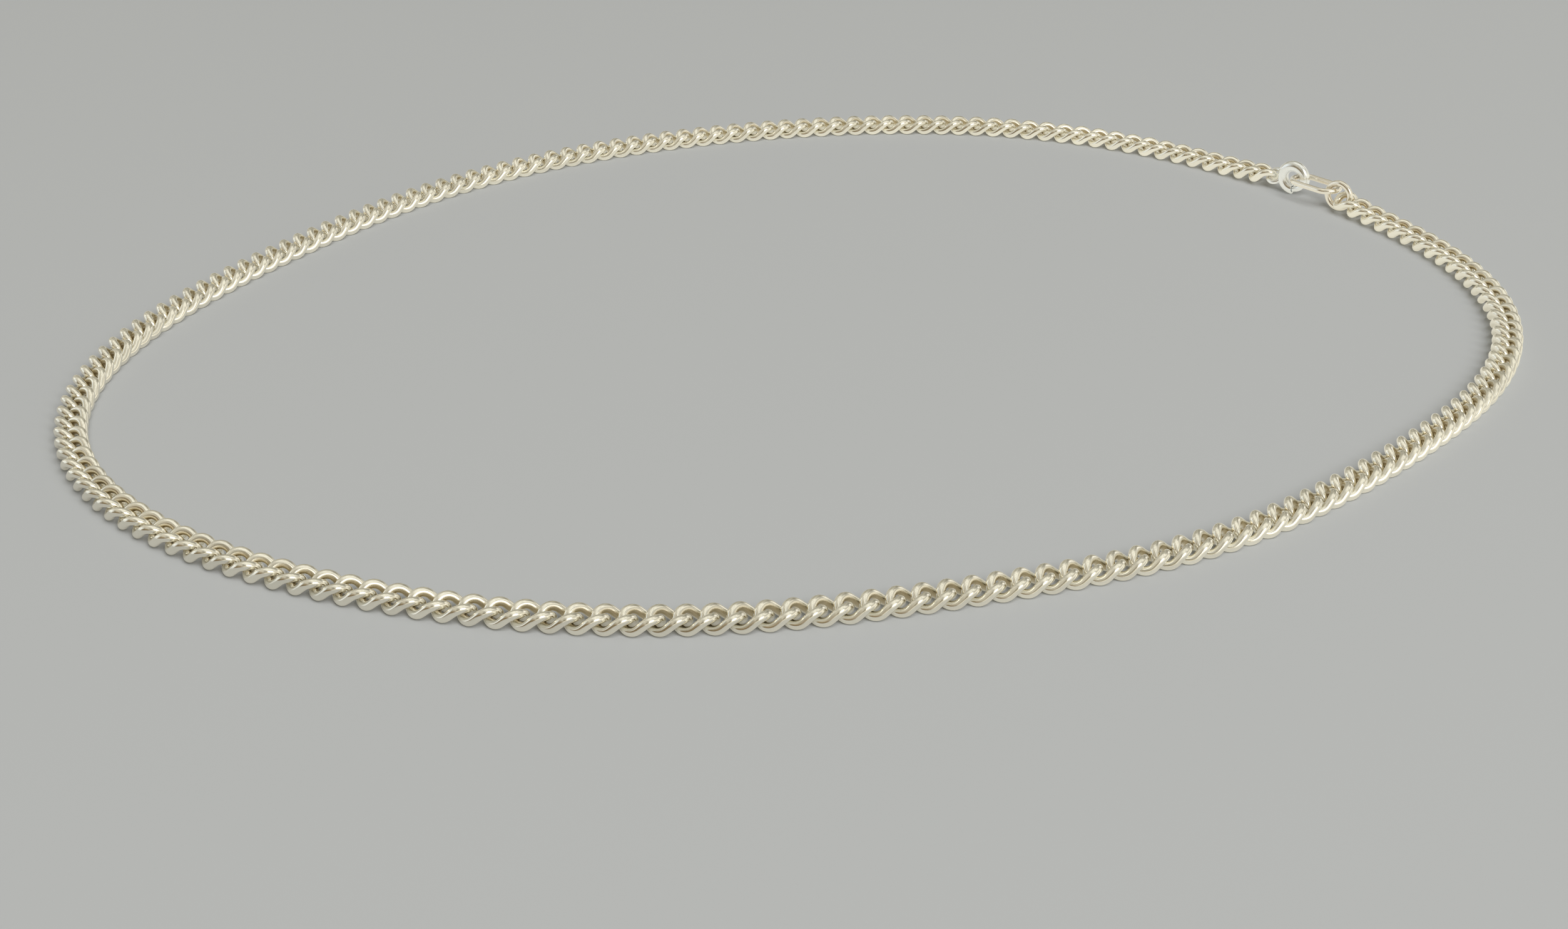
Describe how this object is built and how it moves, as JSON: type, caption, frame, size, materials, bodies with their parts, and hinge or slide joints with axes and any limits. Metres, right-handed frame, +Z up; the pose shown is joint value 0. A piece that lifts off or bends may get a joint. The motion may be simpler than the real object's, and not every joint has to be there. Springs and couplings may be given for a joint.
{
  "type": "curb chain necklace",
  "caption": "Closed necklace of twisted oval curb links lying in a loose loop, fastened by a sprung bolt ring, a flat oval catch ring and a round end ring.",
  "frame": {"origin": "middle of the loop's box, on the surface that the necklace lies on", "axes": "+Z up from the surface, +X along the loop's longer side, to the right as in the picture, +Y away from the picture's camera"},
  "size_m": [0.1986, 0.1689, 0.0055],
  "materials": {
    "chain_silver": "polished silver, warm, lightly worn",
    "clasp_silver": "bright polished silver, cooler than the chain",
    "ring_silver": "polished silver, warm"
  },
  "bodies": {
    "necklace": {"chain_left": "chain_silver", "chain_right": "chain_silver", "bolt_ring": "clasp_silver", "catch_ring": "ring_silver", "end_ring": "ring_silver"},
    "slider": {"bolt_slider": "clasp_silver"}
  },
  "joints": [
    {"name": "slider_draw", "type": "hinge", "parent": "necklace", "child": "slider", "pos_m": [0.07663, 0.05445, 0.00275], "axis": [0.6212, 0.7836, 0], "range_deg": [0, 78], "stiffness_Nm_per_rad": 0.0002}
  ]
}
